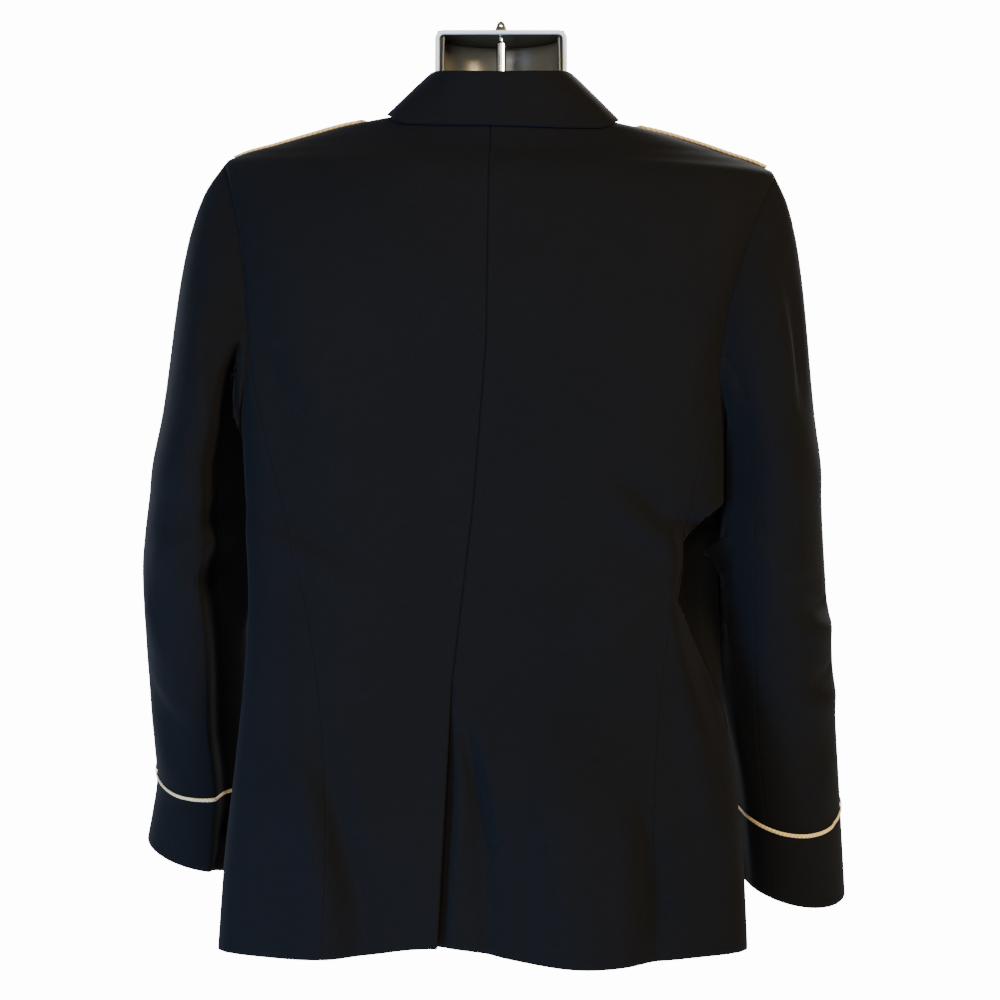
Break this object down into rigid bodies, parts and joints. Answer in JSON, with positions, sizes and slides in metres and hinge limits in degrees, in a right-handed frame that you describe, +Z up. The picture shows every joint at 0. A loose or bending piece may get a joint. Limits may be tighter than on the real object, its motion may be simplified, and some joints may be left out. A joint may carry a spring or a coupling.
{
  "type": "dress uniform jacket on a hanging torso form",
  "caption": "Dark wool dress uniform jacket with notched lapels, shoulder loops and braided cuffs, on a hollow-backed torso form that hangs by an eye.",
  "frame": {"origin": "centre of the eye in the ferrule that the torso form hangs by", "axes": "+Z up, -Y out of the jacket's front, +Y out of its back, +X to the wearer's left"},
  "size_m": [0.6769, 0.2656, 0.8659],
  "materials": {
    "cloth": "dark navy wool twill",
    "braid": "pale gold braid",
    "button": "plain polished dome",
    "form": "black plastic",
    "plate": "pale plastic",
    "chrome": "polished",
    "ferrule": "aged bronze brown"
  },
  "bodies": {
    "root": {"back_left": "cloth", "front_left": "cloth", "side_left": "cloth", "lapel_left": "cloth", "under_sleeve_left": "cloth", "top_sleeve_left": "cloth", "shoulder_loop_left": "cloth", "cuff_braid_left": "braid", "loop_braid_left": "braid", "loop_button_left": "button", "back_right": "cloth", "front_right": "cloth", "side_right": "cloth", "lapel_right": "cloth", "under_sleeve_right": "cloth", "top_sleeve_right": "cloth", "shoulder_loop_right": "cloth", "cuff_braid_right": "braid", "loop_braid_right": "braid", "loop_button_right": "button", "collar": "cloth", "front_button_1": "button", "front_button_2": "button", "front_button_3": "button", "front_button_4": "button", "torso_form": "form", "neck_plate": "plate", "stem": "chrome", "ferrule": "ferrule"}
  },
  "joints": []
}
